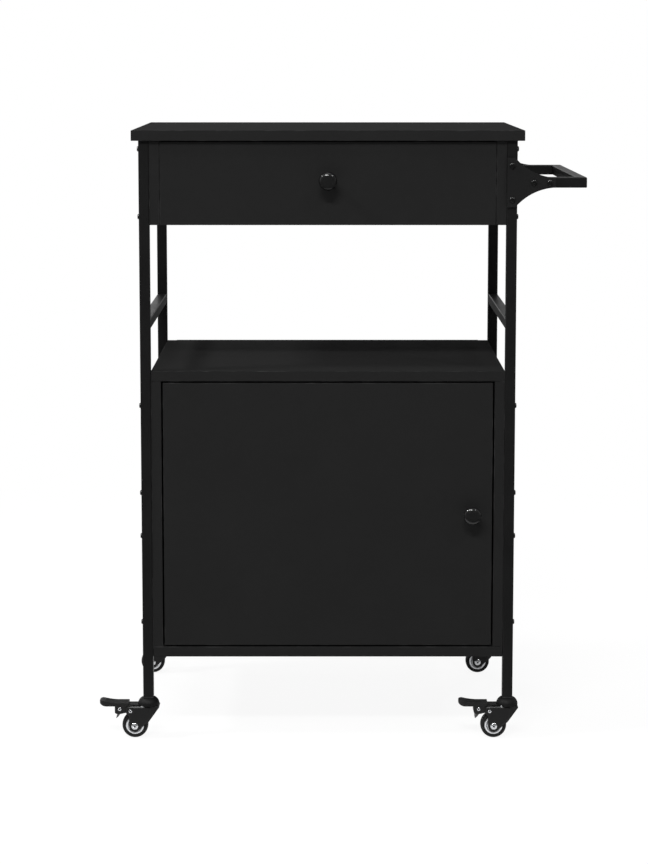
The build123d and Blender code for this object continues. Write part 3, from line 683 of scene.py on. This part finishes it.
def pedalShapes(shape=pedalShape):
    # the ribbed tread, the strip behind it and the lever below
    wide, room = shape["barHalf"], shape["hatRoom"]
    spread = math.asin(wide / room)
    bar = [(shape["barStart"], side * wide, shape["barCorner"]) for side in (-1, 1)]
    for step in range(shape["hatSteps"] + 1):
        angle = spread * (1 - 2 * step / shape["hatSteps"])
        bar.append((-room * math.cos(angle), room * math.sin(angle), 0.0))
    shapes = treadShapes() + [
        onePlate(bar, *shape["bar"], shape["ribEdge"], flat=True),
        onePlate(shape["arm"], -shape["lever"], shape["lever"], shape["armEdge"]),
    ]
    for y in shape["barRibs"]:
        near, far = y - shape["ribHalf"], y + shape["ribHalf"]
        shapes.append(onePlate(shape["barRib"], near, far, shape["ribEdge"]))
    return shapes


def addCaster(corner, foot, axle, braked):
    body = "caster_" + corner
    fork = forkShapes(braked, (axle.x - foot.x) / mm, axle.z / mm)
    hat = turnedRound(casterShape["hat"], "hat", closed=True)
    addPiece(
        "fork_" + corner, fork, foot, finishes["fork"], body, ["caster_fork_" + corner],
        sharp=casterShape["sharp"],
    )
    addPiece("hat_" + corner, [hat], foot, finishes["hat"], body)
    addPiece("hat_rivets_" + corner, hatRivets(), foot, finishes["axle"], body)
    for part in ("tyre", "hub"):
        ring = turnedRound(wheelShape[part], "wheel", axis=front, closed=True)
        node = "wheel_" + part + "_" + corner
        addPiece(part + "_" + corner, [ring], axle, finishes[part], "wheel_" + corner, [node])
    addPiece(
        "axle_" + corner, [axleBolt()], axle, finishes["axle"], body, ["caster_axle_" + corner]
    )


def addBrake(corner, foot, shape=pedalShape):
    body = "pedal_" + corner
    addPiece(
        "pedal_" + corner, pedalShapes(), foot, finishes["pedal"], body, ["brake_pedal_" + corner]
    )
    shoe = onePlate(shape["shoe"], -shape["shoeHalf"], shape["shoeHalf"], shape["shoeEdge"])
    addPiece("shoe_" + corner, [shoe], foot, finishes["shoe"], body)
    heads = []
    for x, z, out in shape["rivets"]:
        heads.append(turnedRound(shape["rivetHead"], "rivet", (x, -out, z), front))
        heads.append(turnedRound(shape["rivetHead"], "rivet", (x, out, z), back))
    addPiece("rivets_" + corner, heads, foot, finishes["axle"], body)


for corner in corners:
    swivel = Vector(joints["swivel_" + corner]["pos_m"])
    foot = Vector((swivel.x, swivel.y, 0.0))
    axle = Vector(joints["roll_" + corner]["pos_m"])
    braked = corner.startswith("front")
    addCaster(corner, foot, axle, braked)
    if braked:
        addBrake(corner, foot)
print("casters:", len(corners), "with formed forks, wheels and pedals")


knobShape = [                   # radius, distance from the board, rounding
    (0.0, 25.0, 0.0), (9.6, 24.4, 2.6), (13.5, 20.6, 3.0), (13.5, 16.4, 2.2), (6.2, 12.6, 2.6),
    (5.5, 4.6, 2.0), (8.0, 2.0, 0.7), (8.0, 0.0, 0.0), (0.0, 0.0, 0.0),
]
knobBodies = {"drawer_knob": "drawer", "door_knob": "door"}
for node, body in knobBodies.items():
    low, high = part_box(node)
    seat = Vector(((low.x + high.x) / 2, high.y, (low.z + high.z) / 2))
    knob = turnedRound(knobShape, "knob", axis=front)
    addPiece("turned_" + node, [knob], seat, finishes["knob"], body, [node])
print("knobs:", len(knobBodies), "turned")


studio = {
    "ambient": 0.26,            # light from all round, on the object
    "glossFront": 0.10,         # what shiny pieces see of the studio towards the front
    "glossBack": (0.95, 0.45),  # behind, from left to right
    "glossAbove": 0.45,         # and above
    "backFade": (-0.75, 0.25),  # directions between which one of these turns into the next
    "sideFade": (-0.15, 0.15),
    "aboveFade": (0.15, 0.8),
    "floorSize": 40.0,
    "floorSides": 96,
    "floorColour": (0.90, 0.90, 0.90, 1.0),
    "floorBounce": (0.62, 0.62, 0.62, 1.0),     # its colour for the light that it throws back
    "floorGlow": (0.90, 1.0),   # how much of the floor's white is seen whatever the light, near and far
    "floorFade": (0.5, 1.8),    # where near turns into far
    "floorShine": 0.25,         # how much of it shiny pieces see nearby
    "floorFar": 0.10,           # and how bright they see it further off
    "shineFade": (0.42, 0.62),
    "softboxes": {
        "key": {"place": (-0.8, -3.9, 4.5), "size": (2.6, 0.4), "power": 212.0},
        "left": {"place": (-3.9, -0.9, 4.2), "size": (0.7, 0.7), "power": 155.0},
        "right": {"place": (3.0, -2.8, 4.6), "size": (0.5, 0.5), "power": 36.0},
        "above": {"place": (0.0, 0.6, 4.4), "size": (1.6, 1.0), "power": 12.0},
        "backLeft": {"place": (-2.2, 4.0, 0.8), "size": (1.6, 1.2), "power": 95.0},
        "backRight": {"place": (2.2, 4.0, 0.8), "size": (1.6, 1.2), "power": 95.0},
        "sideLeft": {"place": (-4.4, 0.4, 0.8), "size": (1.6, 1.2), "power": 85.0},
        "sideRight": {"place": (4.4, 0.4, 0.8), "size": (1.6, 1.2), "power": 85.0},
    },
    "unmirrored": ["backLeft", "backRight", "sideLeft", "sideRight"],   # they leave no highlights
    "aim": (0.0, 0.0, 0.45),
}


def rayKinds(wire):
    # two masks: 1 for the camera's own rays, and 1 for the rays of shiny and clear surfaces
    path = wire.node("ShaderNodeLightPath")
    shiny = path.beside("Is Glossy Ray").most(path.beside("Is Transmission Ray"))
    return path.beside("Is Camera Ray"), shiny


def makeWorld():
    world = bpy.data.worlds.new("studio")
    world.use_nodes = True
    wire = Wire(world.node_tree)
    camera, shiny = rayKinds(wire)
    place = wire.node("ShaderNodeTexCoord", output="Generated")
    parts = wire.node("ShaderNodeSeparateXYZ", sockets={0: place})
    sideways, backward, upward = (parts.beside(axis) for axis in "XYZ")
    behind = backward.ramp(*studio["backFade"])
    sheen = sideways.ramp(*studio["sideFade"], *studio["glossBack"])
    gloss = behind * sheen + (1 - behind) * studio["glossFront"]
    gloss = gloss.most(upward.ramp(*studio["aboveFade"], 0.0, studio["glossAbove"]))
    level = camera + (1 - camera) * (shiny * gloss + (1 - shiny) * studio["ambient"])
    backdrop = world.node_tree.nodes["Background"]
    world.node_tree.links.new(level.socket, backdrop.inputs["Color"])
    bpy.context.scene.world = world


def makeFloor():
    bm = bmesh.new()
    bmesh.ops.create_circle(bm, cap_ends=True, segments=studio["floorSides"], radius=studio["floorSize"])
    mesh = bpy.data.meshes.new("floor")
    bm.to_mesh(mesh)
    bm.free()
    floor = bpy.data.objects.new("floor", mesh)
    bpy.context.scene.collection.objects.link(floor)
    material, wire = newFinish("floor", {"Specular IOR Level": 0.0, "Roughness": 1.0})
    tree = material.node_tree
    camera, shiny = rayKinds(wire)
    feed(material, {"Base Color": camera.tint(studio["floorBounce"], studio["floorColour"])})
    painted = Wire(tree, tree.nodes["Principled BSDF"].outputs[0])
    place = wire.node("ShaderNodeTexCoord", output="Object")
    away = wire.node("ShaderNodeVectorMath", {"operation": "LENGTH"}, {0: place}, "Value")
    level = camera.most(away.ramp(*studio["shineFade"], 1.0, studio["floorFar"]))
    glowing = wire.node("ShaderNodeEmission", sockets={"Color": level, "Strength": 1.0})
    glow = away.ramp(*studio["floorFade"], *studio["floorGlow"])
    shine = away.ramp(*studio["shineFade"], studio["floorShine"], 1.0)
    seen = camera * glow + shiny * shine
    mixed = wire.node("ShaderNodeMixShader", sockets={0: seen, 1: painted, 2: glowing})
    tree.links.new(mixed.socket, tree.nodes["Material Output"].inputs["Surface"])
    mesh.materials.append(material)


def makeSoftboxes():
    aim = Vector(studio["aim"])
    for name, box in studio["softboxes"].items():
        lamp = bpy.data.lights.new(name, "AREA")
        lamp.shape = "RECTANGLE"
        lamp.size, lamp.size_y = box["size"]
        lamp.energy = box["power"]
        softbox = bpy.data.objects.new(name, lamp)
        softbox.location = box["place"]
        softbox.visible_camera = False
        softbox.visible_glossy = name not in studio["unmirrored"]
        softbox.rotation_euler = (aim - softbox.location).to_track_quat("-Z", "Y").to_euler()
        bpy.context.scene.collection.objects.link(softbox)


viewpoint = {
    "place": (-0.0234, -3.2546, 1.0086),
    "pitch": 6.42,              # degrees below level
    "lens": 89.56,
    "shift": -0.16,             # the rest of the way down, so that upright edges stay nearly upright
}


def makeCamera():
    lens = bpy.data.cameras.new("camera")
    lens.lens = viewpoint["lens"]
    lens.shift_y = viewpoint["shift"]
    camera = bpy.data.objects.new("camera", lens)
    camera.location = viewpoint["place"]
    camera.rotation_euler = (math.radians(90 - viewpoint["pitch"]), 0.0, 0.0)   # 90 degrees is level
    bpy.context.scene.collection.objects.link(camera)
    bpy.context.scene.camera = camera


makeWorld()
makeFloor()
makeSoftboxes()
makeCamera()
bpy.context.scene.view_settings.view_transform = "Standard"
print("studio: floor,", len(studio["softboxes"]), "softboxes and the camera")
